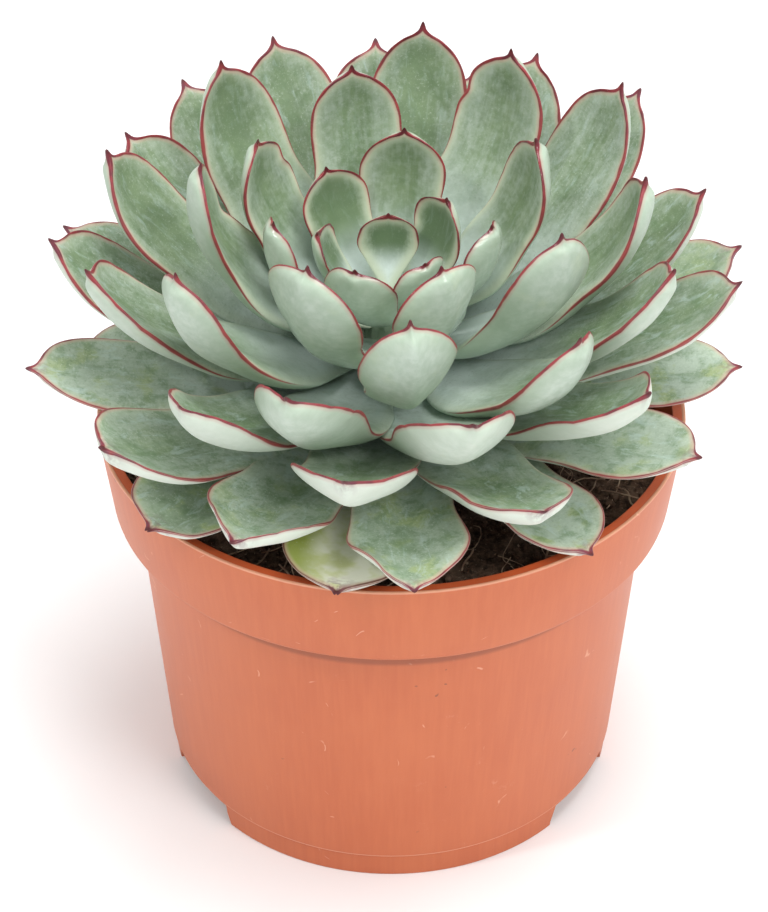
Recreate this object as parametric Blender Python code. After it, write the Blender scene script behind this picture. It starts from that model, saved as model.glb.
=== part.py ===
"""A rosette succulent in a round nursery pot: pot, potting soil, stem and 57 separate leaves.

Units are metres and degrees, +Z is up, and the origin is on the ground under the middle of the pot.
The leaves stand on the stem in one spiral, youngest first, each turned from the last by the golden
angle. Length, width, thickness, lift and curl follow a leaf's age, counted in leaves.
"""

import math

import bmesh
import bpy
from mathutils import Vector
from mathutils.bvhtree import BVHTree

# Gap kept between pieces that touch on the real plant.
SEAT_GAP = 0.0003

# Pot: injection moulded, with a deep rim band and a foot ring cut into three feet.
POT_SEGMENTS = 44
POT_HEIGHT = 0.088
RIM_RADIUS = 0.060
BAND_HEIGHT = 0.0192
BAND_FOOT_RADIUS = 0.0578
BODY_TOP_RADIUS = 0.0532
BODY_FOOT_RADIUS = 0.0487
FOOT_RADIUS = 0.0480
FOOT_HEIGHT = 0.0062
FOOT_COUNT = 3
FOOT_GAP_DEG = 30.0
WALL = 0.0015
EDGE_ROUND = 0.0006
DRAIN_COUNT = 6
DRAIN_RADIUS = 0.0045
DRAIN_CIRCLE = 0.030
DRAIN_SEGMENTS = 12

# Potting soil: a slightly mounded fill that stops below the rim.
SOIL_SEGMENTS = POT_SEGMENTS
SOIL_EDGE_Z = 0.0775
SOIL_CROWN_Z = 0.0800

# Stem: a woody stub in the soil, and a dome that the leaves stand on. It leans to the front.
STEM_SEGMENTS = 18
STEM_LEAN_DEG = 6.5
CROWN_TOP = Vector((-0.0007, 0.0007, 0.1140))
DOME_DEPTH = 0.0220
DOME_TIP_RADIUS = 0.0010
DOME_RADIUS = 0.0085
ROOT_DEPTH = 0.0520
ROOT_RADIUS = 0.0042

# Leaves. Each table gives a value at the ages in AGES, with straight runs between.
LEAVES = 60
FALLEN = (52, 55, 58)
GOLDEN_ANGLE_DEG = 137.508
FIRST_LEAF_DEG = 179.6
AGES = (0, 5, 10, 18, 28, 42, 50, 60)
LENGTH = (0.0155, 0.0295, 0.0435, 0.0600, 0.0650, 0.0670, 0.0630, 0.0580)
WIDTH = (0.0125, 0.0158, 0.0182, 0.0206, 0.0220, 0.0222, 0.0215, 0.0205)
THICKNESS = (0.0022, 0.0032, 0.0042, 0.0050, 0.0052, 0.0048, 0.0042, 0.0034)
LIFT_DEG = (66, 60, 58, 46, 35, 21, 8, 3)
CURL_DEG = (36, 50, 70, 74, 52, 44, 16, 6)
BASE_WIDTH = (0.0024, 0.0030, 0.0036, 0.0042, 0.0046, 0.0046, 0.0046, 0.0046)
BASE_THICKNESS = (0.0010, 0.0011, 0.0013, 0.0015, 0.0016, 0.0015, 0.0014, 0.0014)

# Along a leaf, as shares of its length: its stations, its widest place and its shoulder, where the
# blade ends and the short point at its tip starts.
STATIONS = (0.0, 0.10, 0.24, 0.40, 0.56, 0.70, 0.82, 0.91, 0.955)
WIDEST_AT = 0.70
SHOULDER_AT = 0.965
POINT_WIDTH = 0.0014
THINNEST = 0.0009
# The curl gathers towards the tip, and the blade is dished by this share of its half width.
CURL_POWER = 1.8
DISH = 0.10
MIDRIB_STEPS = 40
# Cross-section, anticlockwise from the left margin: across as a share of the half width, and above
# the midrib's plane as shares of the thickness and of the dish.
SECTION = (
    (-1.00, 0.00, 1.0), (-0.62, -0.38, 0.0), (0.00, -0.62, 0.0), (0.62, -0.38, 0.0),
    (1.00, 0.00, 1.0), (0.60, 0.30, 0.2), (0.00, 0.38, -0.6), (-0.60, 0.30, 0.2),
)

# A leaf that would meet a younger one hangs lower, in steps of so many degrees.
DROP_STEP_DEG = 0.5
DROP_STEPS = 9

# Leaves that grew out of line, by number: turn to the right, lift, both in degrees, and length in mm.
OUT_OF_LINE = {
    2: (2, -4, 0), 4: (-10, -1, 2), 5: (6, -3, 0), 7: (-5, 0, 2), 8: (12, 2, -2), 11: (2, 1, 1),
    12: (3, 1, 0), 14: (3, 0, 1), 15: (-2, 6, 0), 16: (5, 2, 2), 17: (3, 0, 0), 20: (-1, 1, 0),
    22: (4, -3, 1), 23: (1, -2, 1), 24: (3, 2, 2), 25: (0, -3, 0), 27: (0, 2, 0), 29: (-2, -2, 0),
    31: (2, -3, -2), 33: (2, 2, 0), 34: (-2, 0, 0), 37: (-1, 5, 4), 38: (-1, 2, 0), 39: (2, 4, 2),
    40: (3, 2, 1), 41: (8, -5, 0), 43: (-3, 0, 0), 44: (2, -2, -1), 45: (-8, -2, 3), 46: (2, 3, 0),
    47: (0, 0, 2), 48: (-2, -1, 0), 49: (-2, 0, 2), 51: (-3, 5, 4), 53: (-5, -2, 2), 54: (3, -2, 0),
    56: (-5, 0, 0), 57: (1, -5, -3), 59: (5, 2, 1),
}


def clear_scene():
    for obj in list(bpy.data.objects):
        bpy.data.objects.remove(obj)


def material(name, colour, roughness):
    """A Principled material of one colour, given as linear red, green and blue."""
    made = bpy.data.materials.new(name)
    made.use_nodes = True
    shader = made.node_tree.nodes["Principled BSDF"]
    shader.inputs["Base Color"].default_value = (*colour, 1.0)
    shader.inputs["Roughness"].default_value = roughness
    return made


def add_object(name, points, faces, finish, parent=None):
    mesh = bpy.data.meshes.new(name)
    mesh.from_pydata(points, [], faces)
    mesh.validate()
    work = bmesh.new()
    work.from_mesh(mesh)
    bmesh.ops.recalc_face_normals(work, faces=work.faces)
    work.to_mesh(mesh)
    work.free()
    mesh.shade_smooth()
    mesh.set_sharp_from_angle(angle=math.radians(40))
    obj = bpy.data.objects.new(name, mesh)
    bpy.context.scene.collection.objects.link(obj)
    obj.parent = parent
    if finish:
        mesh.materials.append(finish)
    return obj


def turn_profile(profile, segments):
    """Points and faces of a solid of revolution from (radius, height) points in order, where the
    first and the last either lie on the axis or are joined to each other."""
    points, rings = [], []
    for radius, height in profile:
        count = 1 if radius == 0 else segments
        rings.append(range(len(points), len(points) + count))
        for k in range(count):
            angle = 2 * math.pi * k / segments
            points.append((radius * math.cos(angle), radius * math.sin(angle), height))
    if len(rings[0]) > 1:
        rings.append(rings[0])
    faces = []
    for low, high in zip(rings, rings[1:]):
        for k in range(segments):
            after = (k + 1) % segments
            corners = [low[k % len(low)], low[after % len(low)]]
            corners += [high[after % len(high)], high[k % len(high)]]
            faces.append(list(dict.fromkeys(corners)))
    return points, [face for face in faces if len(face) > 2]


def add_cutter(name, points, faces, parent=None):
    obj = add_object(name, points, faces, None, parent)
    obj.hide_render = True
    obj.display_type = "WIRE"
    return obj


def cut(target, tool):
    modifier = target.modifiers.new(tool.name, "BOOLEAN")
    modifier.operation = "DIFFERENCE"
    modifier.object = tool


def band_z():
    return POT_HEIGHT - BAND_HEIGHT


def wall_radius(height):
    """Outside radius of the tapering wall under the rim band."""
    share = (height - FOOT_HEIGHT) / (band_z() - FOOT_HEIGHT)
    return BODY_FOOT_RADIUS + (BODY_TOP_RADIUS - BODY_FOOT_RADIUS) * share


def band_radius(height):
    """Outside radius of the rim band."""
    share = (height - band_z()) / BAND_HEIGHT
    return BAND_FOOT_RADIUS + (RIM_RADIUS - BAND_FOOT_RADIUS) * share


def pot_profile():
    """From the foot up the outside, over the rim, down the inside and under the floor."""
    step_z = band_z() + WALL
    floor_z = FOOT_HEIGHT + WALL
    return [
        (FOOT_RADIUS - WALL, 0.0),
        (FOOT_RADIUS, 0.0),
        (FOOT_RADIUS, FOOT_HEIGHT - EDGE_ROUND),
        (BODY_FOOT_RADIUS, FOOT_HEIGHT),
        (BODY_TOP_RADIUS, band_z() - EDGE_ROUND),
        (BODY_TOP_RADIUS + EDGE_ROUND, band_z()),
        (BAND_FOOT_RADIUS - EDGE_ROUND, band_z()),
        (BAND_FOOT_RADIUS, band_z() + EDGE_ROUND),
        (RIM_RADIUS, POT_HEIGHT - EDGE_ROUND),
        (RIM_RADIUS - EDGE_ROUND / 2, POT_HEIGHT),
        (RIM_RADIUS - WALL, POT_HEIGHT),
        (band_radius(step_z) - WALL, step_z),
        (wall_radius(band_z()) - WALL, step_z),
        (wall_radius(floor_z) - WALL, floor_z),
        (0, floor_z),
        (0, FOOT_HEIGHT),
        (FOOT_RADIUS - WALL, FOOT_HEIGHT),
        (FOOT_RADIUS - WALL, 0.0),
    ]


def foot_gap(centre_deg):
    """A wedge that parts two feet, up to the underside of the floor."""
    half = math.radians(FOOT_GAP_DEG / 2)
    centre = math.radians(centre_deg)
    reach = RIM_RADIUS
    inner = FOOT_RADIUS / 2
    top = FOOT_HEIGHT - 2 * EDGE_ROUND
    points = []
    for height in (-EDGE_ROUND, top):
        for angle in (centre - half, centre + half):
            for radius in (inner, reach):
                points.append((radius * math.cos(angle), radius * math.sin(angle), height))
    faces = [(0, 1, 3, 2), (4, 6, 7, 5), (0, 4, 5, 1), (2, 3, 7, 6), (0, 2, 6, 4), (1, 5, 7, 3)]
    return points, faces


def build_pot(finish):
    points, faces = turn_profile(pot_profile()[:-1], POT_SEGMENTS)
    pot = add_object("pot", points, faces, finish)
    for k in range(FOOT_COUNT):
        gap_deg = -90 + (k + 0.5) * 360 / FOOT_COUNT
        cut(pot, add_cutter(f"foot_gap_cutter_{k}", *foot_gap(gap_deg)))
    drain = [(0, 0), (DRAIN_RADIUS, 0), (DRAIN_RADIUS, 2 * FOOT_HEIGHT), (0, 2 * FOOT_HEIGHT)]
    for k in range(DRAIN_COUNT):
        angle = math.radians(360 / DRAIN_COUNT * (k + 0.25))
        hole = add_cutter(f"drain_cutter_{k}", *turn_profile(drain, DRAIN_SEGMENTS))
        hole.location = (DRAIN_CIRCLE * math.cos(angle), DRAIN_CIRCLE * math.sin(angle), 0)
        cut(pot, hole)
    return pot


def build_soil(finish, crown):
    """The fill follows the inside of the pot, and has a socket that the stem's foot stands in."""
    step_z = band_z() + WALL
    bottom = FOOT_HEIGHT + WALL + SEAT_GAP
    inset = WALL + SEAT_GAP
    profile = [
        (0, bottom),
        (wall_radius(bottom) - inset, bottom),
        (wall_radius(band_z()) - inset, step_z + SEAT_GAP),
        (band_radius(step_z) - inset, step_z + SEAT_GAP),
        (band_radius(SOIL_EDGE_Z) - inset, SOIL_EDGE_Z),
        (0.75 * BODY_TOP_RADIUS, SOIL_CROWN_Z - 0.0012),
        (0.40 * BODY_TOP_RADIUS, SOIL_CROWN_Z),
        (0, SOIL_CROWN_Z),
    ]
    soil = add_object("soil", *turn_profile(profile, SOIL_SEGMENTS), finish)
    radius = ROOT_RADIUS + SEAT_GAP
    depth = ROOT_DEPTH + SEAT_GAP
    socket = [(0, -depth), (radius, -depth), (radius, 0), (0, 0)]
    cut(soil, add_cutter("socket_cutter", *turn_profile(socket, STEM_SEGMENTS), crown))
    return soil


def dome_spot(age):
    """Radius and depth on the dome where a leaf of this age stands."""
    share = age / LEAVES
    radius = DOME_TIP_RADIUS + (DOME_RADIUS - DOME_TIP_RADIUS) * math.sqrt(share)
    return radius, DOME_DEPTH * share**0.6


def build_stem(finish, crown):
    profile = [(0, -ROOT_DEPTH), (ROOT_RADIUS, -ROOT_DEPTH), (ROOT_RADIUS, -1.5 * DOME_DEPTH)]
    profile += [(0.85 * DOME_RADIUS, -1.2 * DOME_DEPTH), (DOME_RADIUS, -1.08 * DOME_DEPTH)]
    for age in (LEAVES, 36, 20, 9, 3, 0.4):
        radius, depth = dome_spot(age)
        profile.append((radius, -depth))
    profile.append((0, 0))
    return add_object("stem", *turn_profile(profile, STEM_SEGMENTS), finish, crown)


def at_age(table, age):
    for start, end, low, high in zip(AGES, AGES[1:], table, table[1:]):
        if age <= end:
            return low + (high - low) * (age - start) / (end - start)
    return table[-1]


def half_width(share, wide, base):
    """Half the width at a share of the length: narrow base, round shoulders, then a short point."""
    if share < WIDEST_AT:
        rise = share / WIDEST_AT
        return (base + (wide - base) * math.sin(math.pi / 2 * rise**1.25)) / 2
    fall = min((share - WIDEST_AT) / (SHOULDER_AT - WIDEST_AT), 1.0)
    return (POINT_WIDTH + (wide - POINT_WIDTH) * (1 - fall**2.4) ** 0.62) / 2


def midrib(length, lift, curl):
    """(out, up, tilt) along a leaf whose base and tip lie on a line at the lift, and which curls
    upwards, mostly near its tip."""
    out, up = [0.0], [0.0]
    for k in range(MIDRIB_STEPS):
        tilt = curl * ((k + 0.5) / MIDRIB_STEPS) ** CURL_POWER
        out.append(out[-1] + math.cos(tilt))
        up.append(up[-1] + math.sin(tilt))
    swing = lift - math.atan2(up[-1], out[-1])
    scale = length / math.hypot(out[-1], up[-1])
    cos, sin = scale * math.cos(swing), scale * math.sin(swing)
    tilts = [swing + curl * (k / MIDRIB_STEPS) ** CURL_POWER for k in range(MIDRIB_STEPS + 1)]
    return [(x * cos - z * sin, x * sin + z * cos, tilt) for x, z, tilt in zip(out, up, tilts)]


def on_midrib(spots, share):
    place = share * MIDRIB_STEPS
    k = min(int(place), MIDRIB_STEPS - 1)
    return [low + (high - low) * (place - k) for low, high in zip(spots[k], spots[k + 1])]


def leaf_shape(n, drop):
    """Points and faces of leaf n in the crown's frame, hung lower than its law by drop degrees."""
    turn, lift_more, longer = OUT_OF_LINE.get(n, (0, 0, 0))
    lift = math.radians(at_age(LIFT_DEG, n) + lift_more - drop)
    curl = math.radians(at_age(CURL_DEG, n))
    spots = midrib(at_age(LENGTH, n) + longer / 1000, lift, curl)
    wide, thick = at_age(WIDTH, n), at_age(THICKNESS, n)
    base_wide, base_thick = at_age(BASE_WIDTH, n), at_age(BASE_THICKNESS, n)
    heading = math.radians(FIRST_LEAF_DEG - GOLDEN_ANGLE_DEG * n + turn)
    outward = Vector((math.sin(heading), -math.cos(heading), 0))
    side = Vector((math.cos(heading), math.sin(heading), 0))
    radius, depth = dome_spot(n)
    start = radius + SEAT_GAP + base_thick / 2 * math.sin(max(lift, 0))
    root = outward * start - Vector((0, 0, depth))
    points = []
    for share in STATIONS:
        out, up, tilt = on_midrib(spots, share)
        middle = root + outward * out + Vector((0, 0, up))
        normal = Vector((0, 0, math.cos(tilt))) - outward * math.sin(tilt)
        half = half_width(share, wide, base_wide)
        body = base_thick + (thick - base_thick) * math.sin(math.pi * share**1.3)
        body = max(min(body, 1.1 * half), THINNEST)
        dish = DISH * half * min(1.0, share / STATIONS[3])
        for across, above, dished in SECTION:
            points.append(middle + side * across * half + normal * (above * body + dished * dish))
    points.append(root + outward * spots[-1][0] + Vector((0, 0, spots[-1][1])))
    return points, tube_faces(len(STATIONS), len(SECTION))


def tube_faces(ring_count, size):
    """Faces round a row of rings, with a flat cap on the first and a fan to a tip after the last."""
    rings = [range(size * k, size * k + size) for k in range(ring_count)]
    faces = [tuple(reversed(rings[0]))]
    for low, high in zip(rings, rings[1:]):
        faces += [(low[k], low[(k + 1) % size], high[(k + 1) % size], high[k]) for k in range(size)]
    tip = size * ring_count
    faces += [(rings[-1][k], rings[-1][(k + 1) % size], tip) for k in range(size)]
    return faces


def tree_of(points, faces, swell=0.0):
    """A search tree of a closed shape, grown outwards by swell."""
    work = bmesh.new()
    spots = [work.verts.new(point) for point in points]
    for face in faces:
        work.faces.new([spots[k] for k in face])
    bmesh.ops.recalc_face_normals(work, faces=work.faces)
    work.normal_update()
    for vertex in spots:
        vertex.co += vertex.normal * swell
    tree = BVHTree.FromBMesh(work)
    work.free()
    return tree


def settled_shape(n, placed):
    """The leaf's shape, bent down just far enough to lie clear under the younger leaves."""
    for step in range(DROP_STEPS):
        points, faces = leaf_shape(n, step * DROP_STEP_DEG)
        grown = tree_of(points, faces, SEAT_GAP)
        if not any(grown.overlap(tree) for tree in placed):
            break
    return points, faces


def build_leaves(finish, crown):
    placed = []
    for n in range(LEAVES):
        if n in FALLEN:
            continue
        points, faces = settled_shape(n, placed)
        placed.append(tree_of(points, faces))
        add_object(f"leaf_{n:02d}", points, faces, finish, crown)


def main():
    clear_scene()
    crown = bpy.data.objects.new("crown", None)
    bpy.context.scene.collection.objects.link(crown)
    crown.location = CROWN_TOP
    crown.rotation_euler = (math.radians(STEM_LEAN_DEG), 0, 0)
    build_pot(material("terracotta_plastic", (0.69, 0.21, 0.10), 0.42))
    build_soil(material("potting_soil", (0.025, 0.016, 0.011), 0.95), crown)
    build_stem(material("woody_stem", (0.16, 0.13, 0.06), 0.8), crown)
    build_leaves(material("leaf_flesh", (0.20, 0.33, 0.20), 0.45), crown)


main()
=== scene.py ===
# %% [markdown]
# # A rosette succulent in a nursery pot
# The plant is a waxy rosette of thick leaves on a short stem, in peat, in a small terracotta-coloured
# plastic pot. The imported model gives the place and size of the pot, the soil, the stem and each leaf.
# This lesson gives each of them its fine shape and its finish.

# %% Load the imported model
import math
import random

import bpy
import numpy as np
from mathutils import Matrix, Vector, noise


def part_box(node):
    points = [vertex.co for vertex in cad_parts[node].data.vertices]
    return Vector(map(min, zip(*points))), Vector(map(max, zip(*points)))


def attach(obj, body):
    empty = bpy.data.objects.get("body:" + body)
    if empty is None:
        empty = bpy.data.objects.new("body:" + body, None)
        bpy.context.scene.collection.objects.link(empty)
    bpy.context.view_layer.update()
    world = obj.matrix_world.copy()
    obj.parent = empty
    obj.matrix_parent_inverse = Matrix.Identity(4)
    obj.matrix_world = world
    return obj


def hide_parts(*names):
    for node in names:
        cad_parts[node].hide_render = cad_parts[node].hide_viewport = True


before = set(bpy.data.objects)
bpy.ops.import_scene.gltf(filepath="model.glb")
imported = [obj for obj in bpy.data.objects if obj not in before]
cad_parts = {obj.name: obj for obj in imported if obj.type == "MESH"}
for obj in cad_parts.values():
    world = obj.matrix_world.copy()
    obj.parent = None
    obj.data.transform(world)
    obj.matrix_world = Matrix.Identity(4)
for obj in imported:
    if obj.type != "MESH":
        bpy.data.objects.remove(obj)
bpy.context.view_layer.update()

MM = 0.001

# %% [markdown]
# Blender's operators work on what is selected, and the model comes in with everything selected. So
# each piece is first made the only selected object, and a modifier is applied as soon as it is set.


# %% Helpers for selecting and for modifiers
def only(obj):
    """Make obj the one selected and active object."""
    if bpy.context.mode != "OBJECT":
        bpy.ops.object.mode_set(mode="OBJECT")
    bpy.ops.object.select_all(action="DESELECT")
    obj.select_set(True)
    bpy.context.view_layer.objects.active = obj


def edit(select="SELECT"):
    bpy.ops.object.mode_set(mode="EDIT")
    bpy.ops.mesh.select_mode(type="VERT")
    bpy.ops.mesh.select_all(action=select)


def leave_edit():
    bpy.ops.object.mode_set(mode="OBJECT")


def named(name):
    """Name the object that an operator just made, and its mesh."""
    obj = bpy.context.active_object
    obj.name = obj.data.name = name
    return obj


def settle(obj):
    """Put the object's place, turn and scale into its mesh."""
    only(obj)
    bpy.ops.object.transform_apply(location=True, rotation=True, scale=True)


def apply_modifier(obj, kind, **settings):
    only(obj)
    modifier = obj.modifiers.new(kind.title(), kind)
    for key, value in settings.items():
        setattr(modifier, key, value)
    bpy.ops.object.modifier_apply(modifier=modifier.name)


def points_of(obj):
    flat = np.empty(len(obj.data.vertices) * 3)
    obj.data.vertices.foreach_get("co", flat)
    return flat.reshape(-1, 3)


def move_points(obj, points):
    obj.data.vertices.foreach_set("co", np.asarray(points).ravel())
    obj.data.update()


def triangles(obj):
    return sum(len(face.vertices) - 2 for face in obj.data.polygons)


# %% [markdown]
# A finish is a chain of shader nodes. One helper adds any node with its settings and links, and one
# turns a colour as a painter would write it, in hex, into the linear values that light works in.


# %% Helpers for materials
def linear(hex_colour):
    parts = [int(hex_colour[k:k + 2], 16) / 255 for k in (1, 3, 5)]
    return tuple(p / 12.92 if p <= 0.04045 else ((p + 0.055) / 1.055) ** 2.4 for p in parts) + (1.0,)


def add(tree, kind, *values, out=0, **settings):
    """Add a node with its settings. The values go in order to the inputs that these leave in use: a
    socket is linked, a hex colour is made linear, None changes nothing. Gives back output out."""
    made = tree.nodes.new("ShaderNode" + kind)
    for key, value in settings.items():
        setattr(made, key, value)
    for socket, value in zip([socket for socket in made.inputs if socket.enabled], values):
        if isinstance(value, bpy.types.NodeSocket):
            tree.links.new(value, socket)
        elif value is not None:
            socket.default_value = linear(value) if isinstance(value, str) else value
    return [socket for socket in made.outputs if socket.enabled][out]


def start_material(name):
    """A material with a Principled shader: gives back the material, its tree and the shader."""
    made = bpy.data.materials.new(name)
    made.use_nodes = True
    return made, made.node_tree, made.node_tree.nodes["Principled BSDF"]


# Settings that many nodes share: an eased step from one value to another, a mix of two colours, and
# plain sums.
STEP = {"interpolation_type": "SMOOTHSTEP"}
TINT = {"data_type": "RGBA"}
TIMES = {"operation": "MULTIPLY"}
PLUS = {"operation": "ADD"}
MINUS = {"operation": "SUBTRACT"}

# %% [markdown]
# The camera looks down at the plant by 37.5 degrees from a little over half a metre away, with a
# 103 mm lens, as a studio camera for product pictures would.

# %% Camera
CAMERA_DOWN_DEG = 37.5
CAMERA_AWAY = 0.54
LOOK_AT = Vector((-0.0015, 0.0, 0.0742))

tilt = math.radians(CAMERA_DOWN_DEG)
camera_data = bpy.data.cameras.new("studio_camera")
camera_data.lens = 102.6
camera_data.sensor_width = 36.0
camera = bpy.data.objects.new("studio_camera", camera_data)
camera.location = LOOK_AT + CAMERA_AWAY * Vector((0, -math.cos(tilt), math.sin(tilt)))
camera.rotation_euler = (math.pi / 2 - tilt, 0, 0)
bpy.context.scene.collection.objects.link(camera)
bpy.context.scene.camera = camera

# %% [markdown]
# The studio is a white sweep with soft lamps: one at the right of the camera, a broad one straight
# above, and a small one at the left for highlights on the leaves that face it. The world gives
# the white surroundings that the satin pot mirrors at its sides.


# %% Studio
def soft_lamp(name, place, size, watts, aim=(0, 0, 0.09)):
    data = bpy.data.lights.new(name, "AREA")
    data.shape = "DISK"
    data.size = size
    data.energy = watts
    lamp = bpy.data.objects.new(name, data)
    lamp.location = place
    lamp.rotation_euler = (Vector(aim) - Vector(place)).to_track_quat("-Z", "Y").to_euler()
    bpy.context.scene.collection.objects.link(lamp)


soft_lamp("key_softbox", (0.50, -0.60, 0.90), 0.45, 4.4)
soft_lamp("top_softbox", (0.15, 0.05, 1.10), 0.60, 6.9)
soft_lamp("left_softbox", (-0.54, -0.30, 0.84), 0.10, 1.7)

world = bpy.data.worlds.new("white_studio")
world.use_nodes = True
world.node_tree.nodes["Background"].inputs["Color"].default_value = (1, 1, 1, 1)
world.node_tree.nodes["Background"].inputs["Strength"].default_value = 0.73
bpy.context.scene.world = world
bpy.context.scene.view_settings.view_transform = "Standard"

bpy.ops.mesh.primitive_plane_add(size=6.0, location=(0, 0, 0))
floor = named("studio_floor")
paper, tree, shader = start_material("white_paper_sweep")
shader.inputs["Base Color"].default_value = linear("#F6F6F6")
shader.inputs["Roughness"].default_value = 0.9
shader.inputs["Specular IOR Level"].default_value = 0.1
floor.data.materials.append(paper)

# %% [markdown]
# ## The pot
# The real one is injection moulded in polypropylene: a thin tapering wall, a deep rim band that
# steps out, and a foot ring with three gaps. A turned shape like this could be spun from a drawn
# profile. Here one ring of edges is extruded again and again, up the outside, over the rim, down
# the inside and under the floor, because each step is then one number pair to read.

# %% Sizes of the pot
ROUND_PARTS = 132
pot_low, pot_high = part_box("pot")
POT_HEIGHT = pot_high.z
RIM_RADIUS = 60.0 * MM
BAND_FOOT_RADIUS = 57.8 * MM
BAND_BOTTOM = POT_HEIGHT - 19.2 * MM
WALL_TOP_RADIUS = 53.2 * MM
WALL_FOOT_RADIUS = 48.7 * MM
FOOT_RADIUS = 48.0 * MM
FOOT_HEIGHT = 6.2 * MM
WALL = 1.5 * MM
LIP = 2.7 * MM
FLOOR_RING = 20 * MM
print("pot height mm", round(POT_HEIGHT / MM, 2), "width mm", round((pot_high.x - pot_low.x) / MM, 2))


# %% Draw the rings of the profile
def fillet(corner, before, after, radius, steps=4):
    """Points that round a corner of the profile."""
    corner, before, after = Vector(corner), Vector(before), Vector(after)
    start = corner + (before - corner).normalized() * radius
    end = corner + (after - corner).normalized() * radius
    curve = []
    for k in range(steps + 1):
        t = k / steps
        curve.append(start * (1 - t) ** 2 + corner * 2 * t * (1 - t) + end * t * t)
    return [tuple(point) for point in curve]


def rounded(profile, radii):
    """The profile with each corner but the first and the last rounded by its radius."""
    points = [profile[0]]
    for before, corner, after, radius in zip(profile, profile[1:], profile[2:], radii):
        points += fillet(corner, before, after, radius) if radius else [corner]
    return points + [profile[-1]]


corners = [
    (FOOT_RADIUS - WALL, 0.0), (FOOT_RADIUS, 0.0), (FOOT_RADIUS + 0.1 * MM, FOOT_HEIGHT - 0.5 * MM),
    (WALL_FOOT_RADIUS + 0.1 * MM, FOOT_HEIGHT), (WALL_TOP_RADIUS, BAND_BOTTOM - 0.3 * MM),
    (WALL_TOP_RADIUS + 0.6 * MM, BAND_BOTTOM), (BAND_FOOT_RADIUS, BAND_BOTTOM),
    (RIM_RADIUS, POT_HEIGHT), (RIM_RADIUS - 0.5 * MM, POT_HEIGHT),
    (RIM_RADIUS - 0.75 * MM, POT_HEIGHT - 0.25 * MM), (RIM_RADIUS - LIP, POT_HEIGHT - 0.35 * MM),
    (RIM_RADIUS - LIP, POT_HEIGHT - 1.2 * MM), (RIM_RADIUS - WALL - 0.3 * MM, POT_HEIGHT - 2.4 * MM),
    (BAND_FOOT_RADIUS - WALL, BAND_BOTTOM + WALL), (WALL_TOP_RADIUS - WALL, BAND_BOTTOM + WALL),
    (WALL_FOOT_RADIUS - WALL, FOOT_HEIGHT + WALL), (FLOOR_RING, FOOT_HEIGHT + WALL),
]
# The radius of each corner between the first and the last, in mm.
corner_rounds = [0.4, 0.15, 0.35, 0.25, 0.3, 1.3, 0.25, 0.12, 0.12, 0.35, 0.3, 0.4, 0.8, 0.6, 0.8]
outline = rounded(corners, [size * MM for size in corner_rounds])
print("rings in the pot's profile", len(outline))


# %% Extrude the pot ring by ring
def ring_to(radius, height, last):
    """Extrude the selected ring of edges, then bring it to its radius and height."""
    bpy.ops.mesh.extrude_edges_move(TRANSFORM_OT_translate={"value": (0, 0, height - last[1])})
    share = radius / last[0]
    bpy.ops.transform.resize(value=(share, share, 1), center_override=(0, 0, height))
    return radius, height


def turned(name, rings, parts, close_ends=False):
    """A turned shape: the first ring as a circle, then the others extruded from it."""
    radius, height = rings[0]
    bpy.ops.object.select_all(action="DESELECT")
    bpy.ops.mesh.primitive_circle_add(vertices=parts, radius=radius, location=(0, 0, height))
    obj = named(name)
    settle(obj)
    edit()
    last = rings[0]
    for radius, height in rings[1:]:
        last = ring_to(radius, height, last)
    leave_edit()
    return obj


def fill_ring(obj, radius, height):
    """Close the open ring at this radius and height with a fan."""
    only(obj)
    edit("DESELECT")
    leave_edit()
    for vertex in obj.data.vertices:
        flat = math.hypot(vertex.co.x, vertex.co.y)
        vertex.select = abs(flat - radius) < 1e-5 and abs(vertex.co.z - height) < 1e-5
    bpy.ops.object.mode_set(mode="EDIT")
    bpy.ops.mesh.edge_face_add()
    bpy.ops.mesh.poke()
    leave_edit()


def face_out(obj, merge=1e-6):
    only(obj)
    edit()
    bpy.ops.mesh.remove_doubles(threshold=merge)
    bpy.ops.mesh.normals_make_consistent(inside=False)
    leave_edit()


pot = turned("nursery_pot", outline, ROUND_PARTS)
fill_ring(pot, *outline[-1])
only(pot)
edit("DESELECT")
leave_edit()
for vertex in pot.data.vertices:
    flat = math.hypot(vertex.co.x, vertex.co.y)
    vertex.select = abs(flat - outline[0][0]) < 1e-5 and vertex.co.z < 1e-6
bpy.ops.object.mode_set(mode="EDIT")
last = ring_to(FOOT_RADIUS - WALL, FOOT_HEIGHT, outline[0])
ring_to(FLOOR_RING, FOOT_HEIGHT, last)
bpy.ops.mesh.edge_face_add()
bpy.ops.mesh.poke()
leave_edit()
face_out(pot)
print("pot", triangles(pot), "triangles")

# %% [markdown]
# The foot ring is parted by three gaps and the floor is pierced by six drain holes. Both are cut
# with plain solids and a Boolean, as a mould's inserts would leave them.


# %% Cut the foot gaps and the drain holes
def cut_with(target, cutter):
    settle(cutter)
    apply_modifier(target, "BOOLEAN", operation="DIFFERENCE", object=cutter, solver="EXACT")
    bpy.data.objects.remove(cutter)


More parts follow.
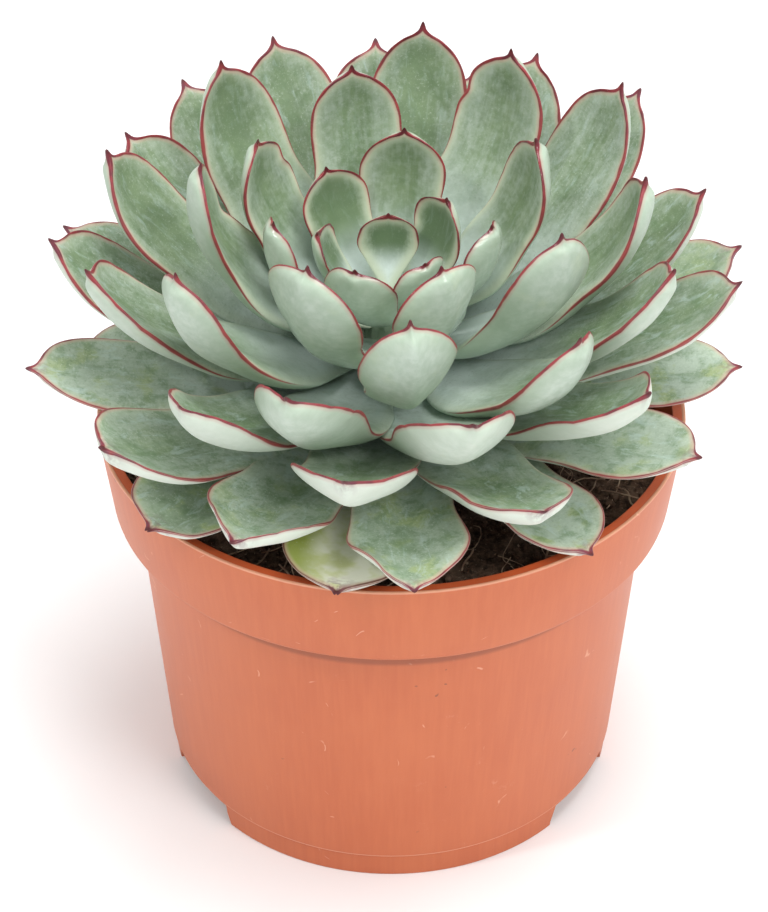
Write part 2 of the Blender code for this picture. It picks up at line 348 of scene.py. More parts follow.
FOOT_GAPS_DEG = (-30, 90, 210)
GAP_HALF_DEG = 15
GAP_SLANT_DEG = 2.2
GAP_TOP = FOOT_HEIGHT - 1.2 * MM
GAP_REACH = 24 * MM
for gap_deg in FOOT_GAPS_DEG:
    bpy.ops.object.select_all(action="DESELECT")
    bpy.ops.mesh.primitive_cube_add(size=1.0)
    wedge = named("foot_gap")
    spots = []
    for corner in points_of(wedge):
        radius = GAP_REACH if corner[0] < 0 else RIM_RADIUS
        half_deg = GAP_HALF_DEG - (GAP_SLANT_DEG if corner[2] > 0 else 0)
        angle = math.radians(gap_deg + half_deg * (1 if corner[1] > 0 else -1))
        spots.append((radius * math.cos(angle), radius * math.sin(angle), GAP_TOP if corner[2] > 0 else -MM))
    move_points(wedge, spots)
    cut_with(pot, wedge)

DRAIN_HOLES = 6
FIRST_HOLE_DEG = 15
HOLE_CIRCLE = 30 * MM
HOLE_RADIUS = 4.5 * MM
for k in range(DRAIN_HOLES):
    angle = math.radians(FIRST_HOLE_DEG + 360 / DRAIN_HOLES * k)
    bpy.ops.object.select_all(action="DESELECT")
    place = (HOLE_CIRCLE * math.cos(angle), HOLE_CIRCLE * math.sin(angle), FOOT_HEIGHT)
    bpy.ops.mesh.primitive_cylinder_add(vertices=28, radius=HOLE_RADIUS, depth=12 * MM, location=place)
    cut_with(pot, named("drain_hole"))
face_out(pot)
only(pot)
bpy.ops.object.shade_smooth_by_angle(angle=math.radians(32))
print("pot after the cuts", triangles(pot), "triangles")

# %% [markdown]
# The pot's plastic is polypropylene, coloured terracotta and moulded with a satin skin. It gives the
# eye a warm, even orange with soft highlights that turn whitish at the sides. Handling leaves pale
# rub marks and short scratches, the mould leaves faint upright flow streaks, and potting leaves
# dust and dark specks low down.

# %% Satin polypropylene
plastic, tree, shader = start_material("moulded_polypropylene_terracotta")
place = add(tree, "TexCoord", out=3)
height = add(tree, "SeparateXYZ", place, out=2)
flat_place = add(tree, "VectorMath", place, (1, 1, 0), **TIMES)

streaks = add(tree, "TexNoise", add(tree, "Mapping", place, None, None, (1, 1, 0.04)), 700, 3, 0.6)
clouds = add(tree, "TexNoise", place, 40, 3, 0.6)
colour = add(tree, "Mix", add(tree, "MapRange", streaks, 0.30, 0.80, **STEP), "#BE623A", "#C4693F", **TINT)
colour = add(
    tree, "Mix", add(tree, "MapRange", clouds, 0.35, 0.75, 0.0, 0.5, **STEP), colour, "#C97046", **TINT
)
scratch_noise = add(tree, "TexNoise", add(tree, "Mapping", place, None, None, (1, 0.3, 1)), 60, 2, 0.6)
scratch_line = add(tree, "Math", add(tree, "Math", scratch_noise, 0.5, **MINUS), operation="ABSOLUTE")
scratch_spots = add(tree, "MapRange", add(tree, "TexNoise", place, 260, 2, 0.5), 0.62, 0.70, **STEP)
scratches = add(
    tree, "Math", add(tree, "MapRange", scratch_line, 0.001, 0.006, 1.0, 0.0, **STEP), scratch_spots,
    **TIMES
)
rubs = add(tree, "MapRange", add(tree, "TexNoise", place, 150, 6, 0.8), 0.60, 0.85, 0.0, 0.40, **STEP)
rub_zone = add(tree, "MapRange", add(tree, "TexNoise", place, 28, 2, 0.5), 0.48, 0.62, **STEP)
colour = add(tree, "Mix", add(tree, "Math", rubs, rub_zone, **TIMES), colour, "#EDBBA2", **TINT)
colour = add(tree, "Mix", add(tree, "Math", scratches, 0.45, **TIMES), colour, "#EFC3AA", **TINT)
# The wall just under the band is darkened as painted shadow, the inside of the band is painted shade
# that is deeper in colour, and the rim's edge and the seam above the foot are painted highlights.
painted_shadow_under_band = add(
    tree, "Math",
    add(tree, "MapRange", height, BAND_BOTTOM - 5.9 * MM, BAND_BOTTOM - 4.6 * MM, 0.0, 0.62, **STEP),
    add(tree, "MapRange", height, BAND_BOTTOM, BAND_BOTTOM + 0.2 * MM, 1.0, 0.0, **STEP), **TIMES
)
colour = add(tree, "Mix", painted_shadow_under_band, colour, "#84432B", **TINT)
from_axis = add(tree, "VectorMath", flat_place, operation="LENGTH")
band_skin = add(tree, "MapRange", height, BAND_BOTTOM, POT_HEIGHT, BAND_FOOT_RADIUS, RIM_RADIUS)
inwards = add(tree, "Math", band_skin, from_axis, **MINUS)
# Painted shade: the inside of the band is made darker and deeper in colour.
painted_shade_inside_band = add(
    tree, "Math", add(tree, "MapRange", inwards, 0.6 * MM, 0.8 * MM, **STEP),
    add(tree, "MapRange", height, BAND_BOTTOM, BAND_BOTTOM + MM, **STEP), **TIMES
)
colour = add(tree, "Mix", add(tree, "Math", painted_shade_inside_band, 0.85, **TIMES), colour, "#B84C22", **TINT)
# Painted highlight: a pale line along the outer edge of the rim.
painted_highlight_on_lip = add(
    tree, "Math", add(tree, "MapRange", from_axis, RIM_RADIUS - 0.9 * MM, RIM_RADIUS - 0.6 * MM, **STEP),
    add(tree, "MapRange", height, POT_HEIGHT - 0.5 * MM, POT_HEIGHT - 0.2 * MM, **STEP), **TIMES
)
colour = add(tree, "Mix", add(tree, "Math", painted_highlight_on_lip, 0.45, **TIMES), colour, "#F0C0A2", **TINT)
# Painted highlight: a pale line around the wall at the seam above the foot.
painted_highlight_at_seam = add(
    tree, "MapRange",
    add(tree, "Math", add(tree, "Math", height, FOOT_HEIGHT, **MINUS), operation="ABSOLUTE"), 0.0001,
    0.0004, 0.5, 0.0, **STEP
)
colour = add(tree, "Mix", painted_highlight_at_seam, colour, "#EDB79A", **TINT)
specks = add(tree, "MapRange", add(tree, "TexNoise", place, 520, 1, 0.5), 0.76, 0.80, **STEP)
speck_zone = add(tree, "MapRange", add(tree, "TexNoise", place, 30, 1, 0.5), 0.55, 0.66, **STEP)
colour = add(
    tree, "Mix", add(tree, "Math", add(tree, "Math", specks, speck_zone, **TIMES), 0.7, **TIMES), colour,
    "#6E4030", **TINT
)
tree.links.new(colour, shader.inputs["Base Color"])
roughness = add(tree, "Math", 0.36, add(tree, "Math", clouds, 0.16, **TIMES), **PLUS)
tree.links.new(
    add(tree, "Math", roughness, add(tree, "Math", scratches, 0.2, **TIMES), **PLUS),
    shader.inputs["Roughness"]
)
shader.inputs["IOR"].default_value = 1.49
bump = add(tree, "Bump", 0.06, 0.0003, None, add(tree, "TexNoise", place, 2500, 2, 0.5))
tree.links.new(bump, shader.inputs["Normal"])
pot.data.materials.clear()
pot.data.materials.append(plastic)
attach(pot, "root")
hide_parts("pot")

# %% [markdown]
# ## The soil
# Potting peat is a loose, dark brown bed of crumbs with pale root fibres. A flat disc would look
# like a lid, so the bed is turned with many rings and its points are heaved by noise. Over it go
# crumbs and fibres, each modelled once and copied with its own size and turn.

# %% The bed of peat
soil_low, soil_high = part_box("soil")
STEM_CLEAR = 4.6 * MM
BED_RINGS = 64
BED_PARTS = 180
BED_DEPTH = 14 * MM
EDGE_Z = 77.5 * MM
UNDER_STEP = (WALL_TOP_RADIUS - WALL - 0.8 * MM, BAND_BOTTOM + WALL + 0.5 * MM)
soil_edge = min(-soil_low.x, soil_high.x)
bed_profile = [
    (UNDER_STEP[0] - 1.0 * MM, UNDER_STEP[1] - BED_DEPTH), UNDER_STEP,
    (soil_edge - 1.2 * MM, UNDER_STEP[1]),
]
for k in range(BED_RINGS):
    share = k / (BED_RINGS - 1)
    radius = (soil_edge - 0.2 * MM) + (STEM_CLEAR - soil_edge) * share
    bed_profile.append((radius, EDGE_Z + (soil_high.z - EDGE_Z) * math.sin(share * math.pi / 2)))
bed = turned("peat_bed", bed_profile, BED_PARTS)
spots = points_of(bed)
for spot in spots:
    if spot[2] > EDGE_Z - 0.1 * MM:
        here = Vector(spot)
        lumps = noise.fractal(here * 160, 0.9, 2.1, 4) * 0.9
        grit = noise.noise(here * 900) * 0.5
        near_wall = min(1.0, (soil_edge - math.hypot(spot[0], spot[1])) / (3 * MM) + 0.25)
        spot[2] += (lumps + grit) * MM * near_wall - 0.4 * MM
move_points(bed, spots)
fill_ring(bed, *bed_profile[0])
face_out(bed)
only(bed)
bpy.ops.object.shade_smooth()
print("bed", triangles(bed), "triangles")


# %% Crumbs and fibres
CRUMBS = 900
FIBRES = 170


def bed_height(x, y):
    flat = math.hypot(x, y)
    share = min(1.0, (soil_edge - flat) / (soil_edge - STEM_CLEAR))
    return EDGE_Z + (soil_high.z - EDGE_Z) * math.sin(share * math.pi / 2) - 0.3 * MM


def join(name, pieces):
    bpy.ops.object.select_all(action="DESELECT")
    for piece in pieces:
        piece.select_set(True)
    bpy.context.view_layer.objects.active = pieces[0]
    bpy.ops.object.join()
    return named(name)


def scatter(name, model, count, seed, low, high, sink, flat=1.0):
    """Copy a small model over the bed, each copy with its own mesh, size and turn, and join them."""
    chance = random.Random(seed)
    base = points_of(model)
    copies = []
    for _ in range(count):
        radius = (soil_edge - 1.5 * MM) * math.sqrt(chance.uniform(0.12, 1.0))
        angle = chance.uniform(0, 2 * math.pi)
        x, y = radius * math.cos(angle), radius * math.sin(angle)
        size = low + (high - low) * chance.random() ** 2.2
        turn = Vector((chance.uniform(-0.5, 0.5), chance.uniform(-0.5, 0.5), chance.uniform(0, 6.3)))
        copy = model.copy()
        copy.data = model.data.copy()
        bpy.context.scene.collection.objects.link(copy)
        copy.scale = (size, size * chance.uniform(0.6, 1.0), size * flat * chance.uniform(0.6, 1.0))
        copy.rotation_euler = turn
        copy.location = (x, y, bed_height(x, y) + sink * size)
        jitter = [[c * chance.uniform(0.75, 1.2) for c in spot] for spot in base]
        move_points(copy, jitter)
        copies.append(copy)
    bpy.data.objects.remove(model)
    joined = join(name, copies)
    settle(joined)
    return joined


bpy.ops.object.select_all(action="DESELECT")
bpy.ops.mesh.primitive_ico_sphere_add(subdivisions=1, radius=1.0)
crumbs = scatter("peat_crumbs", named("crumb"), CRUMBS, 11, 0.4 * MM, 1.7 * MM, 0.25)
print("crumbs", triangles(crumbs), "triangles")


def fibre(chance):
    """One root fibre: a thin wandering curve with a round section."""
    curve = bpy.data.curves.new("fibre", "CURVE")
    curve.dimensions = "3D"
    curve.bevel_depth = chance.uniform(0.09, 0.22) * MM
    curve.bevel_resolution = 0
    curve.resolution_u = 3
    spline = curve.splines.new("BEZIER")
    spline.bezier_points.add(3)
    radius = soil_edge * math.sqrt(chance.uniform(0.35, 0.97))
    around = chance.uniform(0, 2 * math.pi)
    x, y = radius * math.cos(around), radius * math.sin(around)
    heading = chance.uniform(0, 2 * math.pi)
    for point in spline.bezier_points:
        z = bed_height(x, y) + chance.uniform(0.3, 2.0) * MM
        point.co = (x, y, z)
        point.handle_left_type = point.handle_right_type = "AUTO"
        step = chance.uniform(1.5, 4.5) * MM
        heading += chance.uniform(-1.1, 1.1)
        x, y = x + step * math.cos(heading), y + step * math.sin(heading)
        away = math.hypot(x, y) / (soil_edge - 1.2 * MM)
        if away > 1:
            x, y = x / away, y / away
    obj = bpy.data.objects.new("fibre", curve)
    bpy.context.scene.collection.objects.link(obj)
    only(obj)
    bpy.ops.object.convert(target="MESH")
    return bpy.context.active_object


chance = random.Random(5)
fibres = join("root_fibres", [fibre(chance) for _ in range(FIBRES)])
settle(fibres)
print("fibres", triangles(fibres), "triangles")

# %% [markdown]
# Peat is partly rotted moss: dark, dry and rough, so it mirrors nothing, and its colour changes from
# crumb to crumb. The fibres are dead roots, straw coloured and a little translucent.

# %% Peat and dead roots
peat, tree, shader = start_material("damp_peat")
place = add(tree, "TexCoord", out=3)
fine = add(tree, "TexNoise", place, 900, 4, 0.7)
patch = add(tree, "TexNoise", place, 160, 3, 0.6)
colour = add(tree, "Mix", add(tree, "MapRange", fine, 0.35, 0.7, **STEP), "#33271F", "#6C5545", **TINT)
colour = add(
    tree, "Mix", add(tree, "MapRange", patch, 0.42, 0.72, 0.0, 0.7, **STEP), colour, "#86705F", **TINT
)
colour = add(
    tree, "Mix",
    add(tree, "MapRange", add(tree, "TexNoise", place, 1500, 2, 0.5), 0.64, 0.72, 0.0, 0.6, **STEP), colour,
    "#B29C86", **TINT
)
tree.links.new(colour, shader.inputs["Base Color"])
shader.inputs["Roughness"].default_value = 0.95
shader.inputs["Specular IOR Level"].default_value = 0.2
tree.links.new(add(tree, "Bump", 0.8, 0.0006, None, fine), shader.inputs["Normal"])

roots, tree, shader = start_material("dead_root_fibre")
place = add(tree, "TexCoord", out=3)
colour = add(
    tree, "Mix", add(tree, "MapRange", add(tree, "TexNoise", place, 300, 2, 0.5), 0.3, 0.7, **STEP),
    "#7A5E4B", "#C4AC92", **TINT
)
tree.links.new(colour, shader.inputs["Base Color"])
shader.inputs["Roughness"].default_value = 0.8

for piece, finish in ((bed, peat), (crumbs, peat), (fibres, roots)):
    piece.data.materials.clear()
    piece.data.materials.append(finish)
    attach(piece, "root")
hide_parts("soil")

# %% [markdown]
# ## The leaves
# A leaf of this plant is a thick spatula: narrow at the stem, broad before a short point, dished on
# its upper face and keeled underneath, with a thin raised margin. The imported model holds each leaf
# as a coarse solid of nine rings of eight points and a tip. A copy of it is merged, its rings are
# found from the tip, its diagonals are dissolved, and Subdivision Surface rounds it. That keeps
# every leaf where the plant has it, and leaves a clean grid to carve the fine shape in.

# %% Find the rings of a leaf
LEAF_PLACES = 60  # places on the spiral, a few of them empty
RING = 8
STATIONS = (0.0, 0.10, 0.24, 0.40, 0.56, 0.70, 0.82, 0.91, 0.955)
ACROSS = (-1.0, -0.62, 0.0, 0.62, 1.0, 0.60, 0.0, -0.60)
UPPER = (0.0, -0.8, -1.0, -0.8, 0.0, 0.8, 1.0, 0.8)
ABOVE_PLANT = np.array((0.0, 0.0, 0.25))


def tip_and_rings(mesh):
    """The tip's number and the sets of numbers of the rings, from the base to the tip."""
    near = [set() for _ in mesh.vertices]
    for edge in mesh.edges:
        first, second = edge.vertices
        near[first].add(second)
        near[second].add(first)
    for tip, around in enumerate(near):
        if len(around) != RING:
            continue
        rings, seen = [around], around | {tip}
        while rings[-1]:
            rings.append(set().union(*(near[v] for v in rings[-1])) - seen)
            seen |= rings[-1]
        rings.pop()
        if len(rings) == len(STATIONS) and all(len(ring) == RING for ring in rings):
            return tip, [sorted(ring) for ring in reversed(rings)]
    raise ValueError("no tip found in " + mesh.name)


def in_order(points, rings):
    """Each ring's numbers from the left margin under the leaf to the right one and back above."""
    middles = np.array([points[ring].mean(axis=0) for ring in rings])
    widest = points[rings[5]]
    apart = np.linalg.norm(widest[:, None] - widest[None], axis=2)
    first, second = np.unravel_index(apart.argmax(), apart.shape)
    side = widest[second] - widest[first]
    side /= np.linalg.norm(side)
    up = np.cross(middles[3] - middles[1], side)
    if up @ (ABOVE_PLANT - middles[2]) < 0:
        side = -side
    ordered = []
    for k, ring in enumerate(rings):
        along = middles[min(k + 1, len(rings) - 1)] - middles[max(k - 1, 0)]
        up = np.cross(along, side)
        by_side = sorted(ring, key=lambda v: points[v] @ side)
        pairs = [sorted(by_side[j:j + 2], key=lambda v: points[v] @ up) for j in (1, 3, 5)]
        low, high = zip(*pairs)
        ordered.append([by_side[0], *low, by_side[-1], *reversed(high)])
    return ordered, side


# %% Copy a leaf and give it clean quads
def quads_only(leaf, rings, tip):
    """Dissolve the diagonals, so that only rings and spokes are left."""
    spot = {v: (k, j) for k, ring in enumerate(rings) for j, v in enumerate(ring)}
    leaf.data.update()
    for edge in leaf.data.edges:
        first, second = edge.vertices
        if tip in (first, second):
            edge.select = False
            continue
        (k1, j1), (k2, j2) = spot[first], spot[second]
        beside = (j1 - j2) % RING in (1, RING - 1)
        edge.select = not ((k1 == k2 and beside) or (k1 != k2 and j1 == j2))
    bpy.ops.object.mode_set(mode="EDIT")
    bpy.ops.mesh.dissolve_edges(use_verts=False)
    leave_edit()


def write_attribute(mesh, name, values, kind="FLOAT"):
    layer = mesh.attributes.new(name, kind, "POINT")
    key = "value" if kind == "FLOAT" else "vector"
    layer.data.foreach_set(key, np.asarray(values, dtype=np.float32).ravel())


def read_attribute(mesh, name):
    values = np.empty(len(mesh.vertices), np.float32)
    mesh.attributes[name].data.foreach_get("value", values)
    return values.astype(float)


def leaf_copy(name, number):
    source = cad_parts[name]
    leaf = bpy.data.objects.new(f"waxy_leaf_{number:02d}", source.data.copy())
    bpy.context.scene.collection.objects.link(leaf)
    only(leaf)
    edit()
    bpy.ops.mesh.remove_doubles(threshold=1e-6)
    bpy.ops.mesh.customdata_custom_splitnormals_clear()
    bpy.ops.mesh.select_mode(type="EDGE")
    bpy.ops.mesh.select_all(action="DESELECT")
    leave_edit()
    tip, rings = tip_and_rings(leaf.data)
    rings, side = in_order(points_of(leaf), rings)
    quads_only(leaf, rings, tip)
    return leaf, tip, rings, side


# %% Round a leaf
MARGIN_CREASE = 0.20
LEAF_LEVELS = 3
FIT_ROUNDS = 3


def round_leaf(leaf, tip, rings):
    """Subdivide so that the rounded skin still passes through the points of the coarse leaf."""
    mesh = leaf.data
    count = len(mesh.vertices)
    along, across, upper = np.ones(count), np.zeros(count), np.zeros(count)
    for k, ring in enumerate(rings):
        for j, v in enumerate(ring):
            along[v], across[v], upper[v] = STATIONS[k], ACROSS[j], UPPER[j]
    write_attribute(mesh, "along", along)
    write_attribute(mesh, "across", across)
    write_attribute(mesh, "upper", upper)
    margins = {rings[k][j] for k in range(len(rings)) for j in (0, RING // 2)} | {tip}
    base = set(rings[0])
    crease = mesh.attributes.new("crease_edge", "FLOAT", "EDGE")
    for edge in mesh.edges:
        ends = set(edge.vertices)
        if ends <= margins and not ends <= base:
            crease.data[edge.index].value = MARGIN_CREASE
    target = points_of(leaf)
    rounding = leaf.modifiers.new("Rounding", "SUBSURF")
    rounding.levels = rounding.render_levels = LEAF_LEVELS
    control = target.copy()
    for _ in range(FIT_ROUNDS):
        move_points(leaf, control)
        bpy.context.view_layer.update()
        skin = leaf.evaluated_get(bpy.context.evaluated_depsgraph_get()).data
        flat = np.empty(len(skin.vertices) * 3)
        skin.vertices.foreach_get("co", flat)
        control += target - flat.reshape(-1, 3)[:count]
    move_points(leaf, control)
    only(leaf)
    bpy.ops.object.modifier_apply(modifier=rounding.name)


# %% [markdown]
# Growth is never even. The carving step works in each leaf's own frame, across it, along it and up
# from its face. It raises and waves the margins, sets a keel under the tip, draws the tip out into
# a short thorn, and swells the faces a little here and there.


# %% Carve a leaf
TO_TIP = np.array(STATIONS + (1.0,))
GROWN_HALF_WIDTH = 11 * MM


def smooth(value, low, high):
    t = np.clip((value - low) / (high - low), 0.0, 1.0)
    return t * t * (3 - 2 * t)


def leaf_frames(points, rings, tip):
    """Middle, half width and forward direction at each station, from the coarse points."""
    left = np.array([points[ring[0]] for ring in rings] + [points[tip]])
    right = np.array([points[ring[RING // 2]] for ring in rings] + [points[tip]])
    middle = (left + right) / 2
    half = np.linalg.norm(right - left, axis=1) / 2
    forward = np.gradient(middle, axis=0)
    forward /= np.linalg.norm(forward, axis=1)[:, None]
    return middle, half, forward


def at_station(values, along):
    return np.stack([np.interp(along, TO_TIP, column) for column in values.T], axis=1)


# The tables below are by the leaf's number, for leaves that grew out of line with the rest.
# The roll in degrees about the leaf's own length, the left margin upwards.
ROLL_DEG = {6: 12, 9: -16, 12: 14, 14: 24, 17: -10, 22: -6, 25: 6, 30: -3, 43: 8, 46: 6, 56: 8}
# Folds in a margin: side, place along, spread, and how far it stands up and in, in mm.
FOLDS = {
    3: [(1, 0.60, 0.06, 0.4, 1.0)],
    10: [(-1, 0.80, 0.05, 0.4, 1.6)],
    15: [(-1, 0.46, 0.13, 3.2, 3.4), (-1, 0.68, 0.05, -0.6, 1.6)],
    16: [(1, 0.80, 0.04, 0.3, 1.3)],
    19: [(1, 0.55, 0.15, 1.2, 0.8)],
    22: [(1, 0.88, 0.06, 1.0, 0.6)],
    25: [(1, 0.74, 0.16, 3.6, 0.2), (-1, 0.85, 0.10, 1.4, 0.0)],
    30: [(-1, 0.80, 0.16, 4.0, 0.0), (1, 0.85, 0.08, 1.6, -0.3)],
    33: [(-1, 0.80, 0.10, 1.2, 0.4)],
    35: [(-1, 0.72, 0.14, 2.2, 0.2), (1, 0.86, 0.08, 1.0, 0.2)],
    38: [(-1, 0.80, 0.10, 2.0, -0.4), (1, 0.80, 0.10, 2.2, -0.4)],
    41: [(-1, 0.86, 0.06, 1.4, 1.0)],
    43: [(-1, 0.72, 0.13, 2.7, 0.6)],
    46: [(1, 0.80, 0.15, 3.0, 0.5), (-1, 0.90, 0.06, 1.4, 0.3)],
    51: [(-1, 0.84, 0.07, 1.6, 0.5)],
    54: [(1, 0.74, 0.14, 2.8, 0.7)],
    56: [(-1, 0.72, 0.14, 3.0, 0.7)],
}
# How many mm of the tip have died back.
BLUNT_MM = {41: 2.6, 54: 2.2, 59: 1.8}
# Extra width as a share: of the whole blade, of the lower half in place of what the age gives, and of
# the shoulders. A waist takes width away under the shoulders.
WIDER = {9: 0.05, 12: 0.12, 17: -0.16}
LOWER_HALF = {9: 0.25, 12: 0.50, 17: 0.06}
SHOULDERS = {9: 0.12, 12: 0.16, 17: 0.10, 41: 0.22, 43: 0.05, 46: 0.06, 54: 0.24, 56: 0.08, 59: 0.20}
WAIST = {9: 0.06, 12: 0.06, 17: 0.05}
# How strongly the outline is five-sided, and how many times deeper the keel is.
ANGULAR = {17: 0.3, 38: 0.4, 46: 0.6, 51: 0.9, 56: 0.5, 59: 0.5}
KEEL = {4: 1.4, 9: 1.5, 12: 1.5, 17: 2.2, 38: 1.6}


def carve_leaf(leaf, number, frames, side):
    """Move the fine points of a leaf. Lengths are in metres."""
    chance = random.Random(700 + number)
    middle, half, forward = frames
    mesh = leaf.data
    along, upper = read_attribute(mesh, "along"), read_attribute(mesh, "upper")
    points = points_of(leaf)
    centre = at_station(middle, along)
    width = np.interp(along, TO_TIP, np.maximum(half, 0.4 * MM))
    ahead = at_station(forward, along)
    ahead /= np.linalg.norm(ahead, axis=1)[:, None]
    up = np.cross(ahead, side)
    up /= np.linalg.norm(up, axis=1)[:, None]
    offset = (points - centre) @ side
    across = np.clip(offset / width, -1.3, 1.3)
    age = number / LEAF_PLACES
    size = width.max() / GROWN_HALF_WIDTH
    blade = smooth(along, 0.25, 0.6)
    edge = np.abs(across) ** 4
    not_tip = 1 - smooth(along, 0.92, 0.99)
    # The lower half is fleshier than the coarse leaf, and the shoulders of some leaves are broad.
    plump = LOWER_HALF.get(number, 0.34 + 0.26 * max(0.0, 1 - abs(number - 16) / 14))
    flesh = plump * smooth(along, 0.0, 0.12) * (1 - smooth(along, 0.30, 0.62)) * min(1.0, age * 6)
    broad = SHOULDERS.get(number, 0.0) * smooth(along, 0.55, 0.80) * (1 - smooth(along, 0.90, 0.96))
    waist = WAIST.get(number, 0.0) * np.exp(-((along - 0.60) / 0.12) ** 2)
    corners = 0.10 * np.exp(-((along - 0.74) / 0.08) ** 2) - 0.12 * np.exp(-((along - 0.90) / 0.05) ** 2)
    corners = ANGULAR.get(number, 0.0) * (corners - 0.07 * np.exp(-((along - 0.52) / 0.12) ** 2))
    wider = WIDER.get(number, 0.0) * smooth(along, 0.2, 0.5)
    points += side[None] * (offset * (flesh + broad - waist + corners + wider))[:, None]
    height = ((points - centre) * up).sum(axis=1)
    points += up * (height * flesh * 0.8)[:, None]
    # The margins stand up towards the shoulders, more on leaves of middle age.
    rise = 0.9 * MM * size * (0.5 + math.sin(math.pi * min(age * 1.2, 1.0)) * 0.7 + 1.3 * max(0.0, 1 - age * 4))
    points += up * (rise * edge * smooth(along, 0.45, 0.85) * not_tip)[:, None]
    # Each margin waves on its own.
    for sign in (-1, 1):
        phase, beats = chance.uniform(0, 6.3), chance.uniform(1.1, 2.0)
        high = chance.uniform(0.25, 0.6) * MM * size
        here = blade * edge * (across * sign > 0) * not_tip
        points += up * (high * np.sin(2 * math.pi * beats * along + phase) * here)[:, None]
        inwards = np.sin(2 * math.pi * (beats + 0.6) * along + phase + 1.3) * here
        points += side[None] * (sign * 0.25 * MM * inwards)[:, None]
    for sign, place, spread, stands, draws in FOLDS.get(number, ()):
        here = np.exp(-((along - place) / spread) ** 2) * np.clip(across * sign, 0, 1) ** 2.5
        points += up * (stands * MM * here)[:, None]
        points -= side[None] * (sign * draws * MM * here)[:, None]
    # A keel underneath, towards the tip.
    belly = smooth(-upper, 0.0, 1.0)
    keel = np.exp(-(across / 0.34) ** 2) * belly * smooth(along, 0.30, 0.7)
    depth = 0.75 * MM * size * KEEL.get(number, 1.0)
    points -= up * (depth * keel * (1 - smooth(along, 0.90, 1.0)))[:, None]
    # A shallow channel along the upper face.
    channel = np.exp(-(across / 0.30) ** 2) * smooth(upper, 0.0, 1.0) * smooth(along, 0.1, 0.4)
    points -= up * (0.35 * MM * size * channel * (1 - smooth(along, 0.8, 0.95)))[:, None]
    # The point: the sides draw in to a thorn that stands a little forward.
    draw = smooth(along, 0.938, 0.974)
    slender = 0.60 - 0.16 * min(1.0, max(0.0, age * 3 - 1.2))
    points -= side[None] * (((points - centre) @ side) * slender * draw)[:, None]
    height = ((points - centre) * up).sum(axis=1)
    points -= up * (height * 0.45 * draw)[:, None]
    blunt = BLUNT_MM.get(number, 0.0) * MM * smooth(along, 0.86, 1.0) * (1 - np.abs(across) * 0.4)
    points -= ahead * blunt[:, None]
    points += ahead * (0.25 * MM * size * (1 - 0.8 * age) * smooth(along, 0.965, 1.0))[:, None]
    # Slow swellings of the faces.
    lumps = np.array([noise.noise(Vector(p) * 110 + Vector((number * 3.1, 0, 0))) for p in points])
    points += up * (0.28 * MM * size * lumps * blade * (1 - edge) * np.sign(upper))[:, None]
    # The roll about the leaf's length.
    roll = math.radians(ROLL_DEG.get(number, 0)) * smooth(along, 0.15, 0.75)
    x, z = (points - centre) @ side, ((points - centre) * up).sum(axis=1)
    turned_x = x * np.cos(roll) + z * np.sin(roll)
    turned_z = z * np.cos(roll) - x * np.sin(roll)
    points += side[None] * (turned_x - x)[:, None] + up * (turned_z - z)[:, None]
    move_points(leaf, points)
    return points, across * width


# %% Mark what the finish needs
# How thick the wax is on a leaf's upper face, from 0 to 0.9. A dying leaf has 1.
BLOOM = {
    3: 0.0, 5: 0.05, 13: 0.5, 18: 0.15, 21: 0.1, 23: 0.05, 24: 0.7, 40: 0.6, 41: 0.7, 46: 0.7, 48: 0.85,
    49: 0.65, 51: 0.35, 53: 0.85, 54: 0.05, 56: 0.65, 59: 1.0,
}
AT_ONCE = 1500  # points measured in one step, to spare memory
APART = 37.0  # mm between two leaves in the noise, so that no two look alike


def mark_leaf(leaf, number, points, across):
    """Store, point by point, the lengths in mm and shares that the leaf's finish follows."""
    mesh = leaf.data
    along, upper = read_attribute(mesh, "along"), read_attribute(mesh, "upper")
    margin = np.abs(upper) < 1e-3
    count = len(points)
    rim = np.ones(count)
    for start in range(0, count, AT_ONCE):
        part = points[start:start + AT_ONCE]
        apart = np.linalg.norm(part[:, None] - points[margin][None], axis=2)
        rim[start:start + AT_ONCE] = apart.min(axis=1)
    tip = points[along.argmax()]
    from_tip = np.linalg.norm(points - tip, axis=1)
    length = np.linalg.norm(points - points[along.argmin()], axis=1).max()
    chance = random.Random(40 + number)
    mood = BLOOM.get(number, 0.3 + 0.3 * chance.random())
    blade = [across / MM, along * length / MM, np.full(count, APART * number)]
    growth = [np.full(count, number / LEAF_PLACES), from_tip / MM, np.full(count, mood)]
    for name, parts in ("blade", blade), ("place", [along, rim / MM, upper]), ("growth", growth):
        write_attribute(mesh, name, np.stack(parts, 1), "FLOAT_VECTOR")
    for name in ("along", "across", "upper"):
        mesh.attributes.remove(mesh.attributes[name])


# %% Make all the leaves
leaves = {}
for name in sorted(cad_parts):
    if not name.startswith("leaf_"):
        continue
    number = int(name[-2:])
    leaf, tip, rings, side = leaf_copy(name, number)
    frames = leaf_frames(points_of(leaf), rings, tip)
    round_leaf(leaf, tip, rings)
    points, across = carve_leaf(leaf, number, frames, side)
    mark_leaf(leaf, number, points, across)
    only(leaf)
    bpy.ops.object.shade_smooth()
    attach(leaf, "root")
    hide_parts(name)
    leaves[number] = leaf
print("leaves", len(leaves), "with", sum(triangles(leaf) for leaf in leaves.values()), "triangles")

# %% [markdown]
# A leaf is living tissue under a skin with a bloom of wax. The wax scatters light, so the green under
# it looks blue-grey and satin, and where it is rubbed or washed off the leaf is greener and
# glossier. The margin is stained red by sun, with a cream line inside it, and the thorn is a dark
# wine red. Underneath, the wax is thick and the leaf is pale mint.

